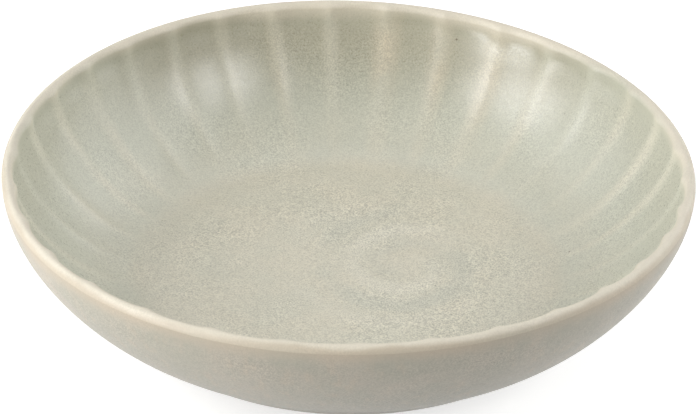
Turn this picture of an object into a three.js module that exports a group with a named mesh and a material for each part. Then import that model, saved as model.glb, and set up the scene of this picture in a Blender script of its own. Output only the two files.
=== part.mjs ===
// A fluted stoneware bowl: a clay body on a low turned foot, with one glaze coat inside and over
// the lip, one outside and one in the well under the base.
// Millimetres, +Z up. The origin is the middle of the foot's ground face.

import * as THREE from 'three';

// Overall form, measured over the glaze. The lip is a half round as thick as the wall.
const RIM_DIAMETER = 220;
const HEIGHT = 54.4;
const WALL_THICKNESS = 4.7;

// Base: its thickness over the foot, and how far up the wall the extra thickness reaches
const BASE_THICKNESS = 9.9;
const BASE_BLEND = 20;

// Inner floor, a shallow dish that the wall rises from
const FLOOR_DIAMETER = 126;
const FLOOR_DISH = 0.6;

// Foot ring, left bare, and the glazed well inside it
const FOOT_HEIGHT = 2.6;
const FOOT_WIDTH = 6;
const FOOT_TAPER = 1;
const FOOT_EDGE = 0.8;
const WELL_HEIGHT = 5;
const WELL_FILLET = 2;
const WELL_GLAZE_LINE = 1.6;

// Character of the inner wall's curve: how far each end holds its direction, as a share of its reach
const FLOOR_PULL = 0.51;
const LIP_PULL = 0.32;

// The rim sank into a slight saddle as it dried: two high places and two low ones round the bowl
const RIM_WARP = 0.85;
const WARP_START = THREE.MathUtils.degToRad(-140);

// Flutes: hollows pressed side by side round the inner wall, meeting in narrow ridges. The flatness is
// the power of the curve across a flute: 2 is a parabola, and more is flatter in the middle.
const FLUTE_COUNT = 33;
const FLUTE_DEPTH = 0.35;
const FLUTE_FLATNESS = 3;
const FLUTE_RUNOUT = 26;
const FIRST_RIDGE = THREE.MathUtils.degToRad(-14.6);

// Each flute ends as a scallop in the lip, and is deepened towards it over a short way. The scallop starts
// where the lip faces outwards and is full where it faces inwards: the inward shares of its facing there.
const LIP_SCALLOP = 1.1;
const LIP_RUNOUT = 8;
const SCALLOP_START = -0.6;
const SCALLOP_FULL = 0.7;

// The flutes were set out by eye, so their spacing wanders in slow waves round the bowl
const SPACING_WAVES = [
  { waves: 1, reach: THREE.MathUtils.degToRad(2.2), start: THREE.MathUtils.degToRad(128) },
  { waves: 2, reach: THREE.MathUtils.degToRad(1.4), start: THREE.MathUtils.degToRad(218) },
];

// Glaze: the coat's thickness, and the extra that gathers in a flute as a share of the flute's depth
const GLAZE = 0.5;
const FLUTE_POOL = 0.3;

// Fineness of the facets: points across one flute, the same on plain rings, and rings along each curve
const FLUTE_STEPS = 4;
const PLAIN_STEPS = 2;
const FLOOR_RINGS = 2;
const INNER_RINGS = 7;
const LIP_RINGS = 4;
const OUTER_RINGS = 8;
const WALL_KNOTS = 12;
const EDGE_RINGS = 2;

const rimRadius = RIM_DIAMETER / 2;
const floorRadius = FLOOR_DIAMETER / 2;
const floorHeight = FOOT_HEIGHT + BASE_THICKNESS;
const lipRadius = WALL_THICKNESS / 2;
const lipHeight = HEIGHT - lipRadius;

const point = (radius, height) => new THREE.Vector2(radius, height);

// The outline runs from the middle of the floor up the wall, over the lip, down to the foot and into
// the well, so the air is always on its left. A station is one point of it, with the way to the air,
// the flutes' depth there and the glaze that covers the clay.
function station(place, air, flute = 0, glaze = GLAZE) {
  return { place, air, flute, glaze };
}

function stationsAlong(curve, rings, fluteAt = () => 0) {
  return Array.from({ length: rings + 1 }, (_, k) => {
    const tangent = curve.getTangentAt(k / rings);
    const air = point(-tangent.y, tangent.x);
    return station(curve.getPointAt(k / rings), air, fluteAt(k / rings));
  });
}

const floorCurve = new THREE.CubicBezierCurve(
  point(0, floorHeight - FLOOR_DISH),
  point(floorRadius / 2, floorHeight - FLOOR_DISH),
  point(floorRadius / 2, floorHeight),
  point(floorRadius, floorHeight),
);

const innerRadius = rimRadius - WALL_THICKNESS;
const innerWall = new THREE.CubicBezierCurve(
  point(floorRadius, floorHeight),
  point(floorRadius + FLOOR_PULL * (innerRadius - floorRadius), floorHeight),
  point(innerRadius, lipHeight - LIP_PULL * (lipHeight - floorHeight)),
  point(innerRadius, lipHeight),
);
const wallLength = innerWall.getLength();

// The outside lies a wall's thickness from the inner wall, and further where the base thickens
function thicknessAt(share) {
  const blend = THREE.MathUtils.smoothstep(share * wallLength, 0, BASE_BLEND);
  return THREE.MathUtils.lerp(BASE_THICKNESS, WALL_THICKNESS, blend);
}

const outerWall = new THREE.SplineCurve(
  stationsAlong(innerWall, WALL_KNOTS)
    .map(({ place, air }, k) => place.addScaledVector(air, -thicknessAt(k / WALL_KNOTS)))
    .reverse(),
);

// A flute deepens out of the floor, is shallow up the wall and presses deeper under the lip
function fluteOnWall(share) {
  const rise = THREE.MathUtils.smoothstep(share * wallLength, 0, FLUTE_RUNOUT);
  const belowLip = THREE.MathUtils.smoothstep((1 - share) * wallLength, 0, LIP_RUNOUT);
  return rise * THREE.MathUtils.lerp(LIP_SCALLOP, FLUTE_DEPTH, belowLip);
}

// The lip is a half round. Each flute ends in it as a scallop, which runs out past the crest.
function lipStations() {
  return Array.from({ length: LIP_RINGS + 1 }, (_, k) => {
    const angle = Math.PI * (1 - k / LIP_RINGS);
    const air = point(Math.cos(angle), Math.sin(angle));
    const place = point(rimRadius - lipRadius, lipHeight).addScaledVector(air, lipRadius);
    const scallop = THREE.MathUtils.smoothstep(-air.x, SCALLOP_START, SCALLOP_FULL);
    return station(place, air, LIP_SCALLOP * scallop);
  });
}

const clayPlace = ({ place, air, glaze }) => place.clone().addScaledVector(air, -glaze);

// Bare clay from the outer glaze line, round the foot ring's ground face, to the well's glaze line
function footStations(glazeLine) {
  const top = clayPlace(glazeLine);
  const outside = top.x - FOOT_TAPER;
  const inside = outside - FOOT_WIDTH;
  const quarter = Math.PI / 2;
  const edge = (radius, from) => Array.from({ length: EDGE_RINGS + 1 }, (_, k) => {
    const angle = from - quarter * k / EDGE_RINGS;
    const air = point(Math.cos(angle), Math.sin(angle));
    return station(point(radius, FOOT_EDGE).addScaledVector(air, FOOT_EDGE), air, 0, 0);
  });
  return [...edge(outside - FOOT_EDGE, 0), ...edge(inside + FOOT_EDGE, -quarter)];
}

// The well's glaze climbs the foot ring's inner side, turns in a fillet and closes on the axis
function wellStations(bareEdge) {
  const side = bareEdge.place.x - GLAZE;
  const turn = new THREE.EllipseCurve(
    side - WELL_FILLET, WELL_HEIGHT - WELL_FILLET, WELL_FILLET, WELL_FILLET, 0, Math.PI / 2,
  );
  const toSide = point(-1, 0);
  const down = point(0, -1);
  return [
    station(point(side, WELL_GLAZE_LINE), toSide),
    ...stationsAlong(turn, EDGE_RINGS),
    station(point((side - WELL_FILLET) / 2, WELL_HEIGHT), down),
    station(point(0, WELL_HEIGHT), down),
  ];
}

const lip = lipStations();
const inside = [
  ...stationsAlong(floorCurve, FLOOR_RINGS),
  ...stationsAlong(innerWall, INNER_RINGS, fluteOnWall).slice(1, -1),
  ...lip,
];
const outside = [lip.at(-1), ...stationsAlong(outerWall, OUTER_RINGS).slice(1)];
const foot = footStations(outside.at(-1));
const well = wellStations(foot.at(-1));

// Direction of a place round the bowl, counted in flutes: whole numbers are the ridges
function azimuth(flutes) {
  const ridge = (k) => {
    const even = 2 * Math.PI * k / FLUTE_COUNT;
    const drift = SPACING_WAVES.map(({ waves, reach, start }) => reach * Math.sin(waves * even + start));
    return FIRST_RIDGE + even + drift.reduce((sum, each) => sum + each);
  };
  const before = Math.floor(flutes);
  return THREE.MathUtils.lerp(ridge(before), ridge(before + 1), flutes - before);
}

// A ring of points round the axis at one station, sunk below the glaze by the given share of the coat
// and raised with the rim's warp, which fades out down the wall
function ringAt({ place, air, flute, glaze }, coat) {
  if (place.x === 0) {
    return [new THREE.Vector3(0, 0, place.y - coat * glaze * air.y)];
  }
  const steps = flute > 0 ? FLUTE_STEPS : PLAIN_STEPS;
  const pooled = FLUTE_POOL * flute;
  const warp = RIM_WARP * THREE.MathUtils.smoothstep(place.y, floorHeight, lipHeight);
  return Array.from({ length: FLUTE_COUNT * steps }, (_, k) => {
    const fromMiddle = 2 * (k % steps) / steps - 1;
    const hollow = 1 - Math.abs(fromMiddle) ** FLUTE_FLATNESS;
    const sunk = hollow * flute + coat * (glaze + hollow * pooled);
    const angle = azimuth(k / steps);
    const radius = place.x - sunk * air.x;
    const lift = warp * Math.sin(2 * angle + WARP_START);
    return new THREE.Vector3(
      radius * Math.cos(angle), radius * Math.sin(angle), place.y - sunk * air.y + lift,
    );
  });
}

const glazeRings = (stations) => stations.map((each) => ringAt(each, 0));
const clayRings = (stations) => stations.map((each) => ringAt(each, 1));

// Triangles between two neighbouring rings, whose numbers of points may differ
function bridge(a, b) {
  const triangles = [];
  const stepsA = a.size > 1 ? a.size : 0;
  const stepsB = b.size > 1 ? b.size : 0;
  let i = 0;
  let j = 0;
  while (i < stepsA || j < stepsB) {
    const fromA = a.first + i % a.size;
    const fromB = b.first + j % b.size;
    if (j === stepsB || (i < stepsA && (i + 1) * stepsB <= (j + 1) * stepsA)) {
      i += 1;
      triangles.push([fromA, fromB, a.first + i % a.size]);
    } else {
      j += 1;
      triangles.push([fromA, fromB, b.first + j % b.size]);
    }
  }
  return triangles;
}

const strip = (rings) => rings.slice(1).flatMap((ring, k) => bridge(rings[k], ring));
const turned = (triangles) => triangles.map(([a, b, c]) => [a, c, b]);

// A closed solid over its front rings. A coat also has back rings, which lie on the clay.
function skin(front, back = []) {
  const positions = [];
  const place = (ring) => {
    const first = positions.length / 3;
    ring.forEach(({ x, y, z }) => positions.push(x, y, z));
    return { first, size: ring.length };
  };
  const frontRings = front.map(place);
  const backRings = back.map(place);
  const triangles = [...strip(frontRings), ...turned(strip(backRings))];
  if (backRings.length > 0) {
    triangles.push(...bridge(frontRings.at(-1), backRings.at(-1)));
    triangles.push(...turned(bridge(frontRings[0], backRings[0])));
  }
  const geometry = new THREE.BufferGeometry();
  geometry.setAttribute('position', new THREE.Float32BufferAttribute(positions, 3));
  geometry.setIndex(triangles.flat());
  geometry.computeVertexNormals();
  return geometry;
}

// Finishes: matt fired clay, and a satin grey-green glaze that is a little darker outside
const BARE_CLAY = { color: '#b8a28a', roughness: 0.85, metalness: 0 };
const INNER_GLAZE = { color: '#c8c5b4', roughness: 0.35, metalness: 0 };
const OUTER_GLAZE = { color: '#bab5a7', roughness: 0.4, metalness: 0 };

function piece(name, geometry, finish) {
  const mesh = new THREE.Mesh(geometry, new THREE.MeshStandardMaterial(finish));
  mesh.name = name;
  return mesh;
}

const clayOutline = [...inside, ...outside.slice(1), ...foot, ...well];
const coat = (stations) => skin(glazeRings(stations), clayRings(stations));

const bowl = new THREE.Group();
bowl.add(
  piece('stoneware_body', skin(clayRings(clayOutline)), BARE_CLAY),
  piece('inner_glaze', coat(inside), INNER_GLAZE),
  piece('outer_glaze', coat(outside), OUTER_GLAZE),
  piece('foot_well_glaze', coat(well), OUTER_GLAZE),
);

export default bowl;
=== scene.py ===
import math
from dataclasses import dataclass, replace
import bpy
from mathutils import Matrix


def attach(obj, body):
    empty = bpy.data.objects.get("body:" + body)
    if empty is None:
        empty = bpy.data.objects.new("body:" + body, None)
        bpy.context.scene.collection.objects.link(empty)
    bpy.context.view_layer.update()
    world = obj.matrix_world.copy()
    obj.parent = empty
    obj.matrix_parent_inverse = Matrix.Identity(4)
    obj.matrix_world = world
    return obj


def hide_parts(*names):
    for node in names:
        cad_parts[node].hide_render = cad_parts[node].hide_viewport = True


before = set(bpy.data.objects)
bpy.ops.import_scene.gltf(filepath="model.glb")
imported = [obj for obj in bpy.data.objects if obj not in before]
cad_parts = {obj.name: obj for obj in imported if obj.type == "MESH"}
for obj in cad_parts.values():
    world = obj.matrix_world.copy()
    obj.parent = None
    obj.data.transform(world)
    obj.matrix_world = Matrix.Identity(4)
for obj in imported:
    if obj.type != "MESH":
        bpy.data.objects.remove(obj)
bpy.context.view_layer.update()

from types import SimpleNamespace

import bpy
import numpy as np
from mathutils import Matrix, Vector

# A fluted stoneware bowl. Each piece is spun from its outline by one node tree, which also presses the
# flutes. Outlines are in millimetres, with the radius first, and become metres where a mesh is made.
MM = 0.001

# Form over the glaze. The pulls are how far the wall keeps to the floor's way and to the lip's.
RIM_RADIUS = 109.93
HEIGHT = 54.39
WALL = 4.7
BASE = 9.9
BASE_BLEND = 20
FLOOR_RADIUS = 63
FLOOR_DISH = 0.6
FLOOR_PULL = 0.51
LIP_PULL = 0.32
FOOT_HEIGHT = 2.6
FOOT_WIDTH = 6
FOOT_TAPER = 1
FOOT_EDGE = 0.8
WELL_HEIGHT = 5
WELL_FILLET = 2
WELL_GLAZE_LINE = 1.6
RIM_WARP = 0.85

# Glaze coat, the share of a flute's depth that gathers in it, and the roll of its edge at the bare foot
GLAZE = 0.5
FLUTE_POOL = 0.3
GLAZE_ROLL = 0.3

# Flutes down the inner wall. A scallop grows over the lip with the inward lean of the lip's face.
FLUTE_DEPTH = 0.35
FLUTE_RUNOUT = 26
LIP_SCALLOP = 1.1
LIP_RUNOUT = 8
SCALLOP_LEAN = (-0.35, 1.0)

# Radii between which the thrower's swirl fades out over the floor
SWIRL_FADE = (30, 58)

FLOOR_HEIGHT = FOOT_HEIGHT + BASE
LIP_RADIUS = WALL / 2
LIP_HEIGHT = HEIGHT - LIP_RADIUS
QUARTER_LIP = LIP_RADIUS * math.pi / 2

# Rows of faces along each stretch of an outline, and steps along a curve while it is worked out
FLOOR_ROWS = 46
WALL_ROWS = 44
LIP_ROWS = 16
OUTER_ROWS = 44
ROLL_ROWS = 4
FOOT_EDGE_ROWS = 5
FILLET_ROWS = 6
ROOF_ROWS = 12
CURVE_STEPS = 800
THICKNESS_STEPS = 400

# A last short row on each side of the seam at the lip's outer edge, so that both are shaded alike there:
# a turn in radians on the lip, and below it a step down with a lean inwards
SEAM_TURN = 0.01
SEAM_STEP = 0.03
SEAM_LEAN = 0.0002

# What the spinning tree is given, with lengths in metres and angles in radians
SPIN_INPUTS = {
    "Flutes": 33,
    "Steps in a flute": 12,
    "First ridge": math.radians(-14.6),
    "First wave reach": math.radians(2.2),
    "First wave start": math.radians(128),
    "Second wave reach": math.radians(1.4),
    "Second wave start": math.radians(218),
    "Ridge softness": 0.17,
    "Flute flatness": 3.0,
    "Uneven depth": 0.3,
    "Seed": 7,
    "Ridge seed": 5834,
    "Warp start": math.radians(-140),
    "Swirl centre": (0.0201, 0.0029, 0.0),
    "Swirl pitch": 0.0212,
    "Swirl depth": 0.00013,
    "Swirl wander": 1.6,
    "Swirl start": -2.3,
}

# How far the columns of faces gather towards the ridges, and the steps in a flute where no flute shows
CLOSER_AT_RIDGES = 0.6
PLAIN_STEPS = 6

# Waves round the bowl of the saddle in its rim, and of the second wave in the spacing of its flutes
TWICE_ROUND = 2.0

# The swirl's wavering as a pattern, and where it comes in and goes out from its centre, in metres
SWIRL_WAVER = (45, 2, 0.5)
SWIRL_COMES_IN = (0.0, 0.007)
SWIRL_GOES_OUT = (0.06, 0.015)

# Points of a mesh that are this close, in metres, are one point, and an edge that is sharper stays hard
SAME_POINT = 1e-6
SHARP_CORNER = math.radians(50)


# Outlines

@dataclass
class Station:
    """A point of an outline, with the way to the air and the way travelled over the lip from its crest."""
    place: np.ndarray
    air: np.ndarray
    run: float
    flute: float = 0.0
    swirl: float = 0.0
    glaze: float = GLAZE


def spot(radius, height):
    return np.array([radius, height], dtype=float)


def eased(value, start, end):
    share = min(max((value - start) / (end - start), 0.0), 1.0)
    return share * share * (3 - 2 * share)


def bezier(a, b, c, d):
    share = np.linspace(0, 1, CURVE_STEPS + 1)[:, None]
    rest = 1 - share
    return rest**3 * a + 3 * rest**2 * share * b + 3 * rest * share**2 * c + share**3 * d


def travelled(path):
    return np.concatenate([[0.0], np.cumsum(np.linalg.norm(np.diff(path, axis=0), axis=1))])


def evenly(path, rows):
    """Places at even distances along a path, the way to the air on its left, and the distances."""
    reach = travelled(path)
    stops = np.linspace(0, reach[-1], rows + 1)
    slope = np.gradient(path, reach, axis=0)
    places = np.stack([np.interp(stops, reach, path[:, k]) for k in (0, 1)], axis=1)
    ways = np.stack([np.interp(stops, reach, slope[:, k]) for k in (0, 1)], axis=1)
    ways /= np.linalg.norm(ways, axis=1)[:, None]
    airs = np.stack([-ways[:, 1], ways[:, 0]], axis=1)
    return places, airs, stops


def turned(centre, radius, start, end, rows):
    """Stations round an arc, whose air is outside it. Angles are in radians."""
    stations = []
    for angle in np.linspace(start, end, rows + 1):
        air = spot(math.cos(angle), math.sin(angle))
        stations.append(Station(centre + radius * air, air, 0.0))
    return stations


def rolled_edge(end):
    """The glaze's edge at the foot, a quarter round that turns from facing down to facing the axis."""
    centre = end + spot(GLAZE_ROLL, GLAZE_ROLL)
    return turned(centre, GLAZE_ROLL, -math.pi / 2, -math.pi, ROLL_ROWS)


inner_radius = RIM_RADIUS - WALL
wall_path = bezier(
    spot(FLOOR_RADIUS, FLOOR_HEIGHT),
    spot(FLOOR_RADIUS + FLOOR_PULL * (inner_radius - FLOOR_RADIUS), FLOOR_HEIGHT),
    spot(inner_radius, LIP_HEIGHT - LIP_PULL * (LIP_HEIGHT - FLOOR_HEIGHT)),
    spot(inner_radius, LIP_HEIGHT),
)
wall_length = travelled(wall_path)[-1]


def floor_stations():
    """A slight dish, from the axis out to the foot of the wall."""
    path = bezier(
        spot(0, FLOOR_HEIGHT - FLOOR_DISH), spot(FLOOR_RADIUS / 2, FLOOR_HEIGHT - FLOOR_DISH),
        spot(FLOOR_RADIUS / 2, FLOOR_HEIGHT), spot(FLOOR_RADIUS, FLOOR_HEIGHT),
    )
    places, airs, stops = evenly(path, FLOOR_ROWS)
    start = -(QUARTER_LIP + wall_length + stops[-1])
    return [
        Station(place, air, start + stop, swirl=1 - eased(place[0], *SWIRL_FADE))
        for place, air, stop in zip(places, airs, stops)
    ]


def wall_stations():
    """The flutes run out of the floor, are shallow up the wall and deepen into scallops under the lip."""
    stations = []
    for place, air, stop in zip(*evenly(wall_path, WALL_ROWS)):
        below_lip = eased(wall_length - stop, 0, LIP_RUNOUT)
        depth = LIP_SCALLOP + (FLUTE_DEPTH - LIP_SCALLOP) * below_lip
        run = stop - wall_length - QUARTER_LIP
        stations.append(Station(place, air, run, eased(stop, 0, FLUTE_RUNOUT) * depth))
    return stations


def lip_stations():
    """A half round, with scallops that cross its crest and fade out on its outer side."""
    stations = []
    for angle in [*np.linspace(math.pi, 0, LIP_ROWS + 1)[:-1], SEAM_TURN, 0.0]:
        air = spot(math.cos(angle), math.sin(angle))
        place = spot(RIM_RADIUS - LIP_RADIUS, LIP_HEIGHT) + LIP_RADIUS * air
        run = LIP_RADIUS * (math.pi / 2 - angle)
        stations.append(Station(place, air, run, LIP_SCALLOP * eased(-air[0], *SCALLOP_LEAN)))
    return stations


def outer_stations():
    """A wall's thickness outside the inner wall, and further down where the base thickens."""
    places, airs, stops = evenly(wall_path, THICKNESS_STEPS)
    blend = np.array([eased(stop, 0, BASE_BLEND) for stop in stops])
    thickness = BASE + (WALL - BASE) * blend
    path = (places - airs * thickness[:, None])[::-1]
    places, airs, stops = evenly(path, OUTER_ROWS)
    first, *others, last = [
        Station(place, air, QUARTER_LIP + stop) for place, air, stop in zip(places, airs, stops)
    ]
    seam = replace(first, place=first.place - spot(SEAM_LEAN, SEAM_STEP), run=first.run + SEAM_STEP)
    roll = [replace(each, run=last.run) for each in rolled_edge(last.place)]
    return [first, seam, *others, *roll]


def foot_stations(end):
    """Bare clay round the foot ring's ground face, from the outer glaze line to the well's."""
    outside = end.place[0] - FOOT_TAPER
    inside = outside - FOOT_WIDTH
    half = math.pi / 2
    edges = [
        *turned(spot(outside - FOOT_EDGE, FOOT_EDGE), FOOT_EDGE, 0, -half, FOOT_EDGE_ROWS),
        *turned(spot(inside + FOOT_EDGE, FOOT_EDGE), FOOT_EDGE, -half, -2 * half, FOOT_EDGE_ROWS),
    ]
    return [replace(each, run=end.run, glaze=0.0) for each in edges]


def well_stations(bare):
    """Up the foot ring's inner side, round a fillet and in to the axis."""
    side = bare.place[0] - GLAZE
    corner = spot(side - WELL_FILLET, WELL_HEIGHT - WELL_FILLET)
    fillet = []
    for angle in np.linspace(0, math.pi / 2, FILLET_ROWS + 1):
        out = spot(math.cos(angle), math.sin(angle))
        fillet.append(Station(corner + WELL_FILLET * out, -out, 0.0))
    roof = [
        Station(spot(radius, WELL_HEIGHT), spot(0, -1), 0.0)
        for radius in np.linspace(corner[0], 0, ROOF_ROWS + 1)[1:]
    ]
    roll = rolled_edge(spot(side, WELL_GLAZE_LINE))
    return [replace(each, run=bare.run) for each in [*roll, *fillet, *roof]]


def sunk(station):
    """The same station on the clay, a coat of glaze below the air."""
    return replace(
        station,
        place=station.place - station.glaze * station.air,
        flute=station.flute * (1 + FLUTE_POOL),
        swirl=0.0,
    )


def coat_outline(stations):
    """Round a coat: its face, then its back on the clay, closed where it doesn't end on the axis."""
    ring = [*stations, *(sunk(each) for each in reversed(stations))]
    if stations[0].place[0] > 0:
        ring.append(stations[0])
    return ring


inner_face = [*floor_stations(), *wall_stations()[1:-1], *lip_stations()]
outer_face = outer_stations()
foot_face = foot_stations(outer_face[-1])
well_face = well_stations(foot_face[-1])
clay_outline = [sunk(each) for each in [*inner_face, *outer_face[1:], *foot_face, *well_face]]


# Node trees

NOISE_MIDDLE = 0.5


class Bench:
    """Adds nodes to one tree, each with its settings and its inputs by name or number."""

    def __init__(self, tree):
        self.tree = tree

    def put(self, socket, value):
        if isinstance(value, bpy.types.NodeSocket):
            self.tree.links.new(value, socket)
        else:
            socket.default_value = value

    def feed(self, node, inputs):
        """Sets a node's inputs, each to a value or to another node's result."""
        for key, value in dict(inputs).items():
            if isinstance(key, int):
                socket = node.inputs[key]
            else:
                socket = next(each for each in node.inputs if each.enabled and each.name == key)
            self.put(socket, value)

    def node(self, kind, inputs=(), **settings):
        node = self.tree.nodes.new(kind)
        for name, value in settings.items():
            setattr(node, name, value)
        self.feed(node, inputs)
        return node

    def result(self, kind, inputs=(), **settings):
        """Adds a node and gives its first result."""
        return next(each for each in self.node(kind, inputs, **settings).outputs if each.enabled)

    def calc(self, operation, *values):
        return self.result("ShaderNodeMath", enumerate(values), operation=operation)

    def vector(self, operation, *values):
        return self.result("ShaderNodeVectorMath", enumerate(values), operation=operation)

    def whole(self, operation, *values):
        return self.result("FunctionNodeIntegerMath", enumerate(values), operation=operation)

    def total(self, *values):
        so_far = values[0]
        for value in values[1:]:
            so_far = self.calc("ADD", so_far, value)
        return so_far

    def product(self, *values):
        so_far = values[0]
        for value in values[1:]:
            so_far = self.calc("MULTIPLY", so_far, value)
        return so_far

    def scaled(self, vector, share):
        return self.result("ShaderNodeVectorMath", {0: vector, "Scale": share}, operation="SCALE")

    def parts(self, vector):
        return self.node("ShaderNodeSeparateXYZ", {0: vector}).outputs

    def joined(self, x, y, z):
        return self.result("ShaderNodeCombineXYZ", {0: x, 1: y, 2: z})

    def ease(self, value, start, end, low=0.0, high=1.0):
        return self.result("ShaderNodeMapRange", {
            "Value": value, "From Min": start, "From Max": end, "To Min": low, "To Max": high,
        }, interpolation_type="SMOOTHSTEP")

    def colour(self, share, first, second):
        return self.result("ShaderNodeMix", {"Factor": share, "A": first, "B": second}, data_type="RGBA")

    def noise(self, place, scale, detail, roughness):
        return self.result("ShaderNodeTexNoise", {
            "Vector": place, "Scale": scale, "Detail": detail, "Roughness": roughness,
        })

    def swing(self, pattern):
        """How far a pattern of noise is from its middle."""
        return self.calc("SUBTRACT", pattern, NOISE_MIDDLE)

    def bump(self, height, strength, distance):
        return self.result("ShaderNodeBump", {
            "Strength": strength, "Distance": distance, "Height": height,
        })


SOCKETS = {int: "NodeSocketInt", float: "NodeSocketFloat", tuple: "NodeSocketVector"}


def spinning_tree():
    """Spins an outline round the axis, presses the flutes, warps the rim and throws the floor's swirl."""
    tree = bpy.data.node_groups.new("spin_and_flute", "GeometryNodeTree")
    new_socket = tree.interface.new_socket
    new_socket("Outline", in_out="INPUT", socket_type="NodeSocketGeometry")
    for name, value in SPIN_INPUTS.items():
        new_socket(name, in_out="INPUT", socket_type=SOCKETS[type(value)])
    new_socket("Finish", in_out="INPUT", socket_type="NodeSocketMaterial")
    new_socket("Piece", in_out="OUTPUT", socket_type="NodeSocketGeometry")
    b = Bench(tree)
    given = tree.nodes.new("NodeGroupInput").outputs

    # A grid with a column for each step round the bowl and a row for each station of the outline
    stations = b.result("GeometryNodeAttributeDomainSize", {"Geometry": given["Outline"]})
    columns = b.whole("MULTIPLY", given["Flutes"], given["Steps in a flute"])
    grid = b.result("GeometryNodeMeshGrid", {
        "Vertices X": b.whole("ADD", columns, 1), "Vertices Y": stations,
    })
    index = b.result("GeometryNodeInputIndex")
    row = b.whole("FLOORED_MODULO", index, stations)
    column = b.whole("DIVIDE_FLOOR", index, stations)

    def at_row(kind, value):
        return b.result("GeometryNodeSampleIndex", {
            "Geometry": given["Outline"], "Value": value, "Index": row,
        }, data_type=kind)

    def outline_value(name, kind="FLOAT"):
        return at_row(kind, b.result("GeometryNodeInputNamedAttribute", {"Name": name}, data_type=kind))

    # Which flute a column is in, and how far across it
    turn = b.calc("DIVIDE", column, given["Steps in a flute"])
    before = b.calc("FLOOR", turn)
    even_share = b.calc("FRACT", turn)
    lean = b.calc("SINE", b.calc("MULTIPLY", even_share, math.tau))
    across = b.calc("MULTIPLY_ADD", lean, -CLOSER_AT_RIDGES / math.tau, even_share)

    def ridge(number):
        even = b.calc("DIVIDE", b.calc("MULTIPLY", number, math.tau), given["Flutes"])
        first = b.calc("SINE", b.calc("ADD", even, given["First wave start"]))
        second = b.calc("SINE", b.calc("MULTIPLY_ADD", even, TWICE_ROUND, given["Second wave start"]))
        return b.total(
            given["First ridge"], even,
            b.calc("MULTIPLY", first, given["First wave reach"]),
            b.calc("MULTIPLY", second, given["Second wave reach"]),
        )

    here = ridge(before)
    pitch = b.calc("SUBTRACT", ridge(b.calc("ADD", before, 1.0)), here)
    azimuth = b.calc("MULTIPLY_ADD", across, pitch, here)

    # Section of a flute: nothing on a softly rounded ridge, one in the middle of the hollow
    fold = b.calc("PINGPONG", b.calc("MULTIPLY", across, 2.0), 1.0)
    soft = given["Ridge softness"]
    soft_square = b.calc("MULTIPLY", soft, soft)

    def rounded(value):
        square = b.calc("MULTIPLY_ADD", value, value, soft_square)
        return b.calc("SUBTRACT", b.calc("SQRT", square), soft)

    share = b.calc("DIVIDE", rounded(fold), rounded(1.0))
    to_middle = b.calc("POWER", b.calc("SUBTRACT", 1.0, share), given["Flute flatness"])
    hollow = b.calc("SUBTRACT", 1.0, to_middle)
    flute = outline_value("flute")

    # Each flute has its own depth, and the glaze leaves each ridge bare by its own amount
    uneven = b.result("FunctionNodeRandomValue", {
        "Min": b.calc("SUBTRACT", 1.0, given["Uneven depth"]),
        "Max": b.calc("ADD", 1.0, given["Uneven depth"]),
        "ID": b.calc("FLOORED_MODULO", before, given["Flutes"]),
        "Seed": given["Seed"],
    })
    bareness = b.result("FunctionNodeRandomValue", {
        "ID": b.calc("FLOORED_MODULO", b.calc("ROUND", turn), given["Flutes"]),
        "Seed": given["Ridge seed"],
    })
    pressed = b.product(hollow, flute, uneven)

    # The place round the axis, lifted by the rim's warp
    place = at_row("FLOAT_VECTOR", b.result("GeometryNodeInputPosition"))
    air = outline_value("air", "FLOAT_VECTOR")
    low = b.parts(b.vector("SUBTRACT", place, b.scaled(air, pressed)))
    warp = b.calc("SINE", b.calc("MULTIPLY_ADD", azimuth, TWICE_ROUND, given["Warp start"]))
    lifted = b.calc("MULTIPLY_ADD", warp, outline_value("lift"), low["Z"])
    flat = b.joined(
        b.calc("MULTIPLY", low["X"], b.calc("COSINE", azimuth)),
        b.calc("MULTIPLY", low["X"], b.calc("SINE", azimuth)),
        0.0,
    )

    # The swirl that the thrower's finger left, out from a point beside the middle
    aside = b.vector("SUBTRACT", flat, given["Swirl centre"])
    away = b.vector("LENGTH", aside)
    bearing = b.calc("ARCTAN2", b.parts(aside)["Y"], b.parts(aside)["X"])
    laps = b.calc("DIVIDE", b.calc("MULTIPLY", away, math.tau), given["Swirl pitch"])
    wander = b.calc("MULTIPLY", b.swing(b.noise(flat, *SWIRL_WAVER)), given["Swirl wander"])
    wave = b.calc("COSINE", b.total(laps, bearing, wander, given["Swirl start"]))
    ripple = b.product(
        wave, b.ease(away, *SWIRL_COMES_IN), b.ease(away, *SWIRL_GOES_OUT), outline_value("swirl"),
    )
    rise = b.calc("MULTIPLY_ADD", ripple, given["Swirl depth"], lifted)
    spun = b.vector("ADD", flat, b.joined(0.0, 0.0, rise))

    # The piece, with the marks that its finish reads
    piece = b.result("GeometryNodeSetPosition", {"Geometry": grid, "Position": spun})
    marks = {
        "run": outline_value("run"),
        "fluting": b.calc("MINIMUM", b.calc("DIVIDE", flute, FLUTE_DEPTH * MM), 1.0),
        "fold": fold,
        "ripple": ripple,
        "bareness": bareness,
    }
    for name, value in marks.items():
        piece = b.result("GeometryNodeStoreNamedAttribute", {
            "Geometry": piece, "Name": name, "Value": value,
        }, data_type="FLOAT", domain="POINT")

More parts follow.
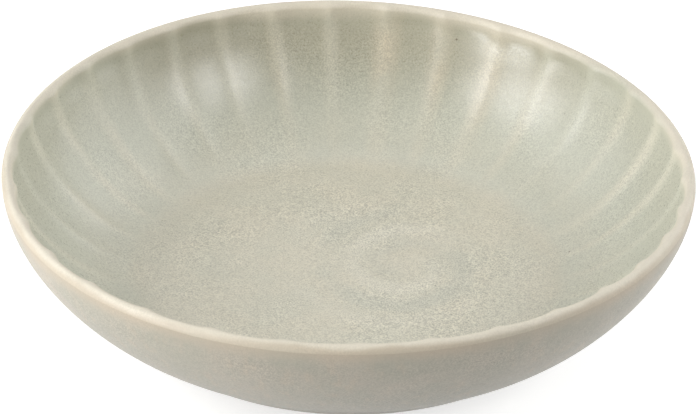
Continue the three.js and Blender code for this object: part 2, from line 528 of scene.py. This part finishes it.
    # The seam and the poles are closed, and the grid's faces, which look into the clay, turn to the air
    piece = b.result("GeometryNodeMergeByDistance", {"Geometry": piece, "Distance": SAME_POINT})
    piece = b.result("GeometryNodeFlipFaces", {"Mesh": piece})
    piece = b.result("GeometryNodeSetShadeSmooth", {"Geometry": piece, "Shade Smooth": True}, domain="FACE")
    corner = b.calc("GREATER_THAN", b.result("GeometryNodeInputMeshEdgeAngle"), SHARP_CORNER)
    piece = b.result("GeometryNodeSetShadeSmooth", {
        "Geometry": piece, "Selection": corner, "Shade Smooth": False,
    }, domain="EDGE")
    piece = b.result("GeometryNodeRealizeInstances", {"Geometry": piece})
    piece = b.result("GeometryNodeSetMaterial", {"Geometry": piece, "Material": given["Finish"]})
    tree.links.new(piece, tree.nodes.new("NodeGroupOutput").inputs["Piece"])
    return tree


def outline_mesh(name, outline):
    """An outline as a line of points in metres, with what the spinning tree reads at each."""
    mesh = bpy.data.meshes.new(name)
    mesh.from_pydata(
        [(each.place[0] * MM, 0.0, each.place[1] * MM) for each in outline],
        [(k, k + 1) for k in range(len(outline) - 1)],
        [],
    )
    air = mesh.attributes.new("air", "FLOAT_VECTOR", "POINT")
    air.data.foreach_set("vector", [v for each in outline for v in (each.air[0], 0.0, each.air[1])])
    values = {
        "flute": [each.flute * MM for each in outline],
        "swirl": [each.swirl for each in outline],
        "run": [each.run * MM for each in outline],
        "lift": [RIM_WARP * MM * eased(each.place[1], FLOOR_HEIGHT, LIP_HEIGHT) for each in outline],
    }
    for key, column in values.items():
        mesh.attributes.new(key, "FLOAT", "POINT").data.foreach_set("value", column)
    return mesh


def spin(name, outline, finish, tree, steps=SPIN_INPUTS["Steps in a flute"]):
    """Spins one piece, and leaves it as a plain mesh at the origin."""
    blank = bpy.data.objects.new(name + "_outline", outline_mesh(name + "_outline", outline))
    bpy.context.scene.collection.objects.link(blank)
    modifier = blank.modifiers.new("spin", "NODES")
    modifier.node_group = tree
    values = {**SPIN_INPUTS, "Steps in a flute": steps, "Finish": finish}
    for item in tree.interface.items_tree:
        if item.name in values:
            modifier[item.identifier] = values[item.name]
    depsgraph = bpy.context.evaluated_depsgraph_get()
    mesh = bpy.data.meshes.new_from_object(
        blank.evaluated_get(depsgraph), preserve_all_data_layers=True, depsgraph=depsgraph,
    )
    mesh.name = name
    piece = bpy.data.objects.new(name, mesh)
    bpy.context.scene.collection.objects.link(piece)
    bpy.data.objects.remove(blank)
    return piece


# Finishes

def srgb(red, green, blue):
    def linear(value):
        value /= 255
        return value / 12.92 if value <= 0.04045 else ((value + 0.055) / 1.055) ** 2.4
    return (linear(red), linear(green), linear(blue), 1.0)


CELADON = srgb(205, 200, 182)
CELADON_GREY = srgb(200, 197, 180)
SWIRL_PALE = srgb(216, 212, 196)
SWIRL_GREY = srgb(182, 183, 170)
WALL_GREEN = srgb(194, 197, 183)
# Glaze pooled in the hollows, darkened further by painted shade under the lip
POOLED_AND_SHADED = srgb(166, 162, 142)
BREAK_TAN = srgb(195, 185, 163)
BREAK_CREAM = srgb(206, 203, 186)
LIP_CREAM = srgb(216, 209, 192)
LIP_TAN = srgb(190, 175, 154)
OUTSIDE_GREY = srgb(179, 172, 157)
OUTSIDE_GREEN = srgb(171, 167, 152)
# The outside's lower colour, darkened partly as painted shade near the floor
OUTSIDE_LOW_SHADED = srgb(138, 135, 122)
IRON_SPECK = srgb(104, 92, 74)
CLAY = srgb(196, 172, 144)
CLAY_TOASTED = srgb(176, 142, 108)
CLAY_GRIT = srgb(120, 98, 78)

# Patterns of noise: scale, detail and roughness. Streaks are clouds drawn out upwards.
CLOUDS = (60, 3, 0.55)
PATCHES = (22, 2, 0.5)
CLUMPS = (38, 2, 0.6)
CURDS = (600, 2, 0.6)
GRAIN = (1900, 2, 0.6)
PITS = (1300, 2, 0.6)
STREAKS = (260, 3, 0.6)
STREAKS_DRAWN = (1.0, 1.0, 0.3)
LIP_WANDER = (16, 1, 0.5)
CLAY_CLOUDS = (90, 3, 0.6)
CLAY_TOOTH = (1600, 3, 0.7)

# Patterns of dots: cells to a metre, a dot's size in its cell, and the share of cells that have one. A dot's
# core is the share of it that is solid.
LARGE_SPECKS = (55, 0.028, 0.16)
SMALL_SPECKS = (160, 0.05, 0.05)
GRIT = (700, 0.3, 0.35)
DOT_CORE = 0.45

# Spans of the run from the lip's crest, in metres, minus inside the bowl and plus outside. A span is two
# places, and then how strong a look is at each of them where that isn't none and all.
# Where the pale ring of painted light comes in and goes out, over the shading where the floor bends up
BEND_COMES_IN = (-0.082, -0.07)
BEND_GOES_OUT = (-0.059, -0.066)
GREEN_FADES = (-0.025, -0.05, 0.9, 0.45)
# Where the hollows darken towards the lip: pooled glaze and painted shade
DARKENS_UNDER_LIP = (-0.048, -0.012)
RIDGES_TAN_HIGH = (-0.045, -0.02, 0.1, 1.0)
CREAM_COMES_IN = (-0.0058, 0.0002)
CREAM_GOES_OUT = (0.0032, 0.001)
BLUSH_COMES_IN = (0.0008, 0.0028)
BLUSH_GOES_OUT = (0.009, 0.003)
STREAKS_COME_IN = (0.004, 0.01)
OUTSIDE_DARKENS_TO_SHADE = (0.015, 0.055, 0.0, 0.75)
LIP_CALMS = (0.012, 0.004, 1.0, 0.3)
FLOOR_GRAIN = (-0.055, -0.085, 0.14, 0.215)
DRY_COMES_IN = (-0.006, -0.002)
DRY_GOES_OUT = (0.006, 0.002)

# Spans of a pattern or a mark, in the same way
CLOUD_MIX = (0.35, 0.65)
TRAIL_PATCHES = (0.3, 0.6, 0.3, 1.0)
TRAIL_PALE = (0.1, 0.9, 0.0, 0.5)
TRAIL_GREY = (-0.1, -0.9, 0.0, 0.38)
FLUTES_START = (0.0, 0.35)
HOLLOWS_FILL = (0.05, 0.4, 0.5, 1.0)
RIDGES_START = (0.0, 0.45)
RIDGES_FADE = (1.0, 0.05)
RIDGE_PATCHES = (0.3, 0.68, 0.3, 1.0)
RIDGE_BARENESS = (0.1, 0.75, 0.4, 1.0)
STREAK_COVER = (0.5, 0.7, 0.0, 0.35)
BLUSH_PATCHES = (0.25, 0.6, 0.35, 0.7)
CLUMP_STRENGTH = (0.42, 0.66, 0.8, 1.4)
GRAIN_SHADE = (0.3, 0.7, -1.0, 1.0)
CURD_SHADE = (0.3, 0.7, -0.25, 0.25)
PIT_DEPTH = (0.3, 0.7)
TOOTH_ROUGHNESS = (0.3, 0.7, 0.78, 0.92)

# The far wall, along +Y, darker and browner as painted shade, since that wall takes less light: a span along
# +Y in metres, and what changes along it
FAR_SIDE = (0.02, 0.1)
FAR_PAINTED_SHADE = (0.45, 1.0, 0.45, 0.95)
FAR_RIDGE_WIDTH = (0.0, 1.0, 1.0, 1.35)
FAR_LIP_TAN = 0.15

# How strong the pale ring of painted light at the bend, the iron specks and the clay's grit are
BEND_PAINTED_LIGHT = 0.28
IRON_SHARE = 0.8
GRIT_SHARE = 0.5

# Half a ridge's width as a share of half a flute, and how far the clouds push its edge and its cover
RIDGE_NARROWEST = 0.3
RIDGE_WIDER = 0.28
RIDGE_WAVER = 0.15
RIDGE_CLOUDING = 0.6

# How far the lip's cream band wanders, in metres: all of it with the clouds, and its inner edge more widely
LIP_RAGGED = 0.003
LIP_SPREAD = 0.012

# Satin glaze: the sheen's strength, how pits change its roughness, the drier lip, and the bump
GLAZE_IOR = 1.58
PITS_SMOOTHER = 0.05
PITS_ROUGHER = 0.07
DRY_SHARE = 0.2
CLOUD_HEIGHT = 0.8
GLAZE_BUMP = (0.2, 0.0002)

# Bare clay: the heights between which it is toasted and how far its clouds shift them, in metres
CLAY_TOASTS = (0.0015, 0.0032)
TOAST_WAVER = 0.002
CLAY_BUMP = (0.4, 0.0003)

# Marks that the spinning leaves on a piece
MARKS = ("run", "fluting", "fold", "ripple", "bareness")


def fresh_material(name):
    material = bpy.data.materials.new(name)
    material.use_nodes = True
    bench = Bench(material.node_tree)
    shader = material.node_tree.nodes["Principled BSDF"]
    place = bench.node("ShaderNodeTexCoord").outputs["Object"]
    return material, bench, shader, place


def specks(b, place, scale, size, share):
    """Scattered dots: one in some of the cells of a cell pattern."""
    cells = b.node("ShaderNodeTexVoronoi", {"Vector": place, "Scale": scale})
    chosen = b.calc("LESS_THAN", b.parts(cells.outputs["Color"])["X"], share)
    dot = b.ease(cells.outputs["Distance"], size, size * DOT_CORE)
    return b.calc("MULTIPLY", dot, chosen)


def glaze_surface(b, place):
    """What a glaze reads at a point: the marks of its spinning, and the patterns that it uses twice."""
    marks = {name: b.node("ShaderNodeAttribute", attribute_name=name).outputs["Fac"] for name in MARKS}
    cloud = b.noise(place, *CLOUDS)
    return SimpleNamespace(
        **marks,
        place=place,
        cloud=cloud,
        cloud_swing=b.swing(cloud),
        patch=b.noise(place, *PATCHES),
        far=b.ease(b.parts(place)["Y"], *FAR_SIDE),
    )


def cloudy(b, at, main, deep):
    """Two shades in clouds, with the swirl on the floor and a pale ring of painted light where the floor
    bends up.
    """
    colour = b.colour(b.ease(at.cloud, *CLOUD_MIX), main, deep)
    trail = b.calc("MULTIPLY", at.ripple, b.ease(at.patch, *TRAIL_PATCHES))
    colour = b.colour(b.ease(trail, *TRAIL_PALE), colour, SWIRL_PALE)
    colour = b.colour(b.ease(trail, *TRAIL_GREY), colour, SWIRL_GREY)
    # Painted light: a pale ring where the floor bends up, which evens out the darker shading there
    bend = b.product(b.ease(at.run, *BEND_COMES_IN), b.ease(at.run, *BEND_GOES_OUT), BEND_PAINTED_LIGHT)
    return b.colour(bend, colour, SWIRL_PALE)


def gathered_and_shaded(b, at, colour):
    """Greener up the wall, and dark in the hollows under the lip: glaze pooled thick there, with painted
    shade.
    """
    fluted = b.ease(at.fluting, *FLUTES_START)
    green = b.calc("MULTIPLY", fluted, b.ease(at.run, *GREEN_FADES))
    colour = b.colour(green, colour, WALL_GREEN)
    # Painted shade with the pooling: darker towards the lip, and most on the far wall
    thick = b.calc("MULTIPLY", b.ease(at.run, *DARKENS_UNDER_LIP), b.ease(at.far, *FAR_PAINTED_SHADE))
    pooled_and_shaded = b.product(fluted, b.ease(at.fold, *HOLLOWS_FILL), thick)
    return b.colour(pooled_and_shaded, colour, POOLED_AND_SHADED)


def broken_on_ridges(b, at, colour):
    """Thin and warm on the ridges, and darker tan high on the far wall, partly painted shade."""
    wavering = b.calc("MULTIPLY_ADD", at.cloud_swing, RIDGE_WAVER, at.fold)
    near_width = b.calc("MULTIPLY_ADD", at.bareness, RIDGE_WIDER, RIDGE_NARROWEST)
    width = b.calc("MULTIPLY", near_width, b.ease(at.far, *FAR_RIDGE_WIDTH))
    uneven = b.calc("MULTIPLY_ADD", at.cloud_swing, RIDGE_CLOUDING, at.patch)
    thin = b.product(
        b.ease(at.fluting, *RIDGES_START),
        b.ease(b.calc("DIVIDE", wavering, width), *RIDGES_FADE),
        b.ease(uneven, *RIDGE_PATCHES),
        b.ease(at.bareness, *RIDGE_BARENESS),
    )
    # Darker tan on the ridges high on the far wall: partly painted shade
    far_tan = b.calc("MULTIPLY", at.far, b.ease(at.run, *RIDGES_TAN_HIGH))
    return b.colour(thin, colour, b.colour(far_tan, BREAK_CREAM, BREAK_TAN))


def streaked_outside(b, at, colour):
    """Darker down the outside, partly painted shade towards the floor, with faint tan streaks."""
    # Darker towards the floor: the glaze's own grey, and painted shade
    colour = b.colour(b.ease(at.run, *OUTSIDE_DARKENS_TO_SHADE), colour, OUTSIDE_LOW_SHADED)
    streak = b.noise(b.vector("MULTIPLY", at.place, STREAKS_DRAWN), *STREAKS)
    streaky = b.calc("MULTIPLY", b.ease(at.run, *STREAKS_COME_IN), b.ease(streak, *STREAK_COVER))
    return b.colour(streaky, colour, LIP_TAN)


def cream_on_lip(b, at, colour):
    """A ragged cream band over the lip's crest, and a tan blush under its outer edge."""
    ragged = b.calc("MULTIPLY_ADD", at.cloud_swing, LIP_RAGGED, at.run)
    spread = b.calc("MULTIPLY_ADD", b.swing(b.noise(at.place, *LIP_WANDER)), LIP_SPREAD, ragged)
    crest = b.calc("MULTIPLY", b.ease(spread, *CREAM_COMES_IN), b.ease(ragged, *CREAM_GOES_OUT))
    # On the far lip the cream turns tan, partly painted shade like the far wall
    cream = b.colour(b.calc("MULTIPLY", at.far, FAR_LIP_TAN), LIP_CREAM, LIP_TAN)
    colour = b.colour(crest, colour, cream)
    blush = b.product(
        b.ease(ragged, *BLUSH_COMES_IN), b.ease(ragged, *BLUSH_GOES_OUT), b.ease(at.patch, *BLUSH_PATCHES),
    )
    return b.colour(blush, colour, LIP_TAN)


def grained(b, at, colour):
    """Fine grain, strongest on the level floor and weak on the lip, and iron specks."""
    calm = b.ease(b.calc("ABSOLUTE", at.run), *LIP_CALMS)
    clump = b.ease(b.noise(at.place, *CLUMPS), *CLUMP_STRENGTH)
    reach = b.product(b.ease(at.run, *FLOOR_GRAIN), calm, clump)
    fine = b.ease(b.noise(at.place, *GRAIN), *GRAIN_SHADE)
    coarse = b.ease(b.noise(at.place, *CURDS), *CURD_SHADE)
    shade = b.calc("MULTIPLY_ADD", b.calc("ADD", fine, coarse), reach, 1.0)
    colour = b.scaled(colour, shade)
    iron = b.calc("MAXIMUM", specks(b, at.place, *LARGE_SPECKS), specks(b, at.place, *SMALL_SPECKS))
    return b.colour(b.calc("MULTIPLY", iron, IRON_SHARE), colour, IRON_SPECK)


def glaze(name, main, deep, roughness):
    """Satin glaze, coloured from its thick parts to its thin ones, lightly pitted and drier on the lip."""
    material, b, shader, place = fresh_material(name)
    at = glaze_surface(b, place)
    colour = cloudy(b, at, main, deep)
    for laid_over in (gathered_and_shaded, broken_on_ridges, streaked_outside, cream_on_lip, grained):
        colour = laid_over(b, at, colour)
    pits = b.noise(place, *PITS)
    satin = b.ease(pits, *PIT_DEPTH, roughness - PITS_SMOOTHER, roughness + PITS_ROUGHER)
    dry = b.product(b.ease(at.run, *DRY_COMES_IN), b.ease(at.run, *DRY_GOES_OUT), DRY_SHARE)
    height = b.calc("MULTIPLY_ADD", at.cloud, CLOUD_HEIGHT, pits)
    b.feed(shader, {
        "Base Color": colour,
        "IOR": GLAZE_IOR,
        "Roughness": b.calc("ADD", satin, dry),
        "Normal": b.bump(height, *GLAZE_BUMP),
    })
    return material


def bare_clay():
    """Gritty fired clay, toasted where it meets the glaze."""
    material, b, shader, place = fresh_material("bare_clay")
    level = b.calc("MULTIPLY_ADD", b.noise(place, *CLAY_CLOUDS), TOAST_WAVER, b.parts(place)["Z"])
    colour = b.colour(b.ease(level, *CLAY_TOASTS), CLAY, CLAY_TOASTED)
    colour = b.colour(b.calc("MULTIPLY", specks(b, place, *GRIT), GRIT_SHARE), colour, CLAY_GRIT)
    tooth = b.noise(place, *CLAY_TOOTH)
    b.feed(shader, {
        "Base Color": colour,
        "Roughness": b.ease(tooth, *TOOTH_ROUGHNESS),
        "Normal": b.bump(tooth, *CLAY_BUMP),
    })
    return material


# Pieces

tree = spinning_tree()
inner_finish = glaze("inner_glaze_finish", CELADON, CELADON_GREY, roughness=0.31)
outer_finish = glaze("outer_glaze_finish", OUTSIDE_GREY, OUTSIDE_GREEN, roughness=0.38)
clay = spin("bowl_clay", clay_outline, bare_clay(), tree, PLAIN_STEPS)
inner_coat = spin("bowl_inner_glaze", coat_outline(inner_face), inner_finish, tree)
outer_coat = spin("bowl_outer_glaze", coat_outline(outer_face), outer_finish, tree)
well_coat = spin("bowl_well_glaze", coat_outline(well_face), outer_finish, tree, PLAIN_STEPS)
pieces = {
    "stoneware_body": (clay, "bare_stoneware"),
    "inner_glaze": (inner_coat, "inner_glaze"),
    "outer_glaze": (outer_coat, "outer_glaze"),
    "foot_well_glaze": (well_coat, "foot_well_glaze"),
}
for node, (piece, slot) in pieces.items():
    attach(piece, "root")
    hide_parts(node)


# Studio: a pale floor, a white surround, soft light from the sides and behind, and the camera

WHITE = (1, 1, 1, 1)
FLOOR_REACH = 4
FLOOR_PAINT = (0.62, 0.62, 0.62, 1)
FLOOR_ROUGHNESS = 0.9
FLOOR_LIFT = 0.66
AMBIENT = 0.05
LIGHT_DISTANCE = 1.3


def seen_directly(b):
    """One for rays from the camera, or from it by way of gloss or glass."""
    path = b.node("ShaderNodeLightPath").outputs
    direct = b.calc("MAXIMUM", path["Is Camera Ray"], path["Is Glossy Ray"])
    return b.calc("MAXIMUM", direct, path["Is Transmission Ray"])


def floor_paint():
    """Matt pale paint, lifted towards white where it is seen, so that it still takes a shadow."""
    material, b, shader, _ = fresh_material("studio_floor_paint")
    b.feed(shader, {
        "Base Color": FLOOR_PAINT,
        "Roughness": FLOOR_ROUGHNESS,
        "Specular IOR Level": 0.0,
        "Emission Color": WHITE,
        "Emission Strength": b.calc("MULTIPLY", seen_directly(b), FLOOR_LIFT),
    })
    return material


floor_mesh = bpy.data.meshes.new("studio_floor")
floor_corners = [(FLOOR_REACH * x, FLOOR_REACH * y, 0) for x, y in ((-1, -1), (1, -1), (1, 1), (-1, 1))]
floor_mesh.from_pydata(floor_corners, [], [(0, 1, 2, 3)])
floor_mesh.materials.append(floor_paint())
studio_floor = bpy.data.objects.new("studio_floor", floor_mesh)
bpy.context.scene.collection.objects.link(studio_floor)

world = bpy.data.worlds.new("studio")
world.use_nodes = True
bpy.context.scene.world = world
surround = Bench(world.node_tree)
surround.feed(world.node_tree.nodes["Background"], {
    "Color": WHITE,
    "Strength": surround.ease(seen_directly(surround), 0.0, 1.0, AMBIENT, 1.0),
})


def soft_box(name, azimuth, elevation, size, power):
    """A square soft light that faces the bowl. Azimuth is measured from the camera, to its right."""
    lamp = bpy.data.lights.new(name, "AREA")
    lamp.size = size
    lamp.energy = power
    box = bpy.data.objects.new(name, lamp)
    side = math.radians(azimuth)
    rise = math.radians(elevation)
    way = Vector((math.sin(side) * math.cos(rise), -math.cos(side) * math.cos(rise), math.sin(rise)))
    target = Vector((0, 0, HEIGHT / 2 * MM))
    box.location = target + LIGHT_DISTANCE * way
    box.rotation_euler = way.to_track_quat("Z", "Y").to_euler()
    bpy.context.scene.collection.objects.link(box)


soft_box("left_soft_box", azimuth=-71, elevation=35, size=0.6, power=8.8)
soft_box("front_left_soft_box", azimuth=-58, elevation=6, size=0.5, power=10.6)
soft_box("left_panel", azimuth=-105, elevation=26, size=1.1, power=4.4)
soft_box("right_soft_box", azimuth=58, elevation=38, size=0.5, power=6.2)
soft_box("right_panel", azimuth=112, elevation=25, size=1.5, power=11.0)
soft_box("back_soft_box", azimuth=180, elevation=55, size=0.9, power=1.6)

# A long lens on a stand that is set out from a point over the bowl, and then aimed a little below it
SENSOR_WIDTH = 36
LENS_LENGTH = 151.5
CAMERA_RISE = math.radians(30.08)
CAMERA_ROLL = math.radians(1.14)
CAMERA_DISTANCE = 931
CAMERA_POINT = Vector((0, 0, 53.99))
AIM_BELOW = 15.56

lens = bpy.data.cameras.new("camera")
lens.sensor_width = SENSOR_WIDTH
lens.lens = LENS_LENGTH
camera = bpy.data.objects.new("camera", lens)
across = Vector((1, 0, 0))
ahead = Vector((0, math.cos(CAMERA_RISE), -math.sin(CAMERA_RISE)))
stand = CAMERA_POINT - CAMERA_DISTANCE * ahead
aim = CAMERA_POINT - AIM_BELOW * across.cross(ahead)
ahead = (aim - stand).normalized()
level = Matrix((across, across.cross(ahead), -ahead)).transposed()
camera.matrix_world = (
    Matrix.Translation(stand * MM) @ level.to_4x4() @ Matrix.Rotation(CAMERA_ROLL, 4, "Z")
)
bpy.context.scene.collection.objects.link(camera)
bpy.context.scene.camera = camera
bpy.context.scene.view_settings.view_transform = "Standard"
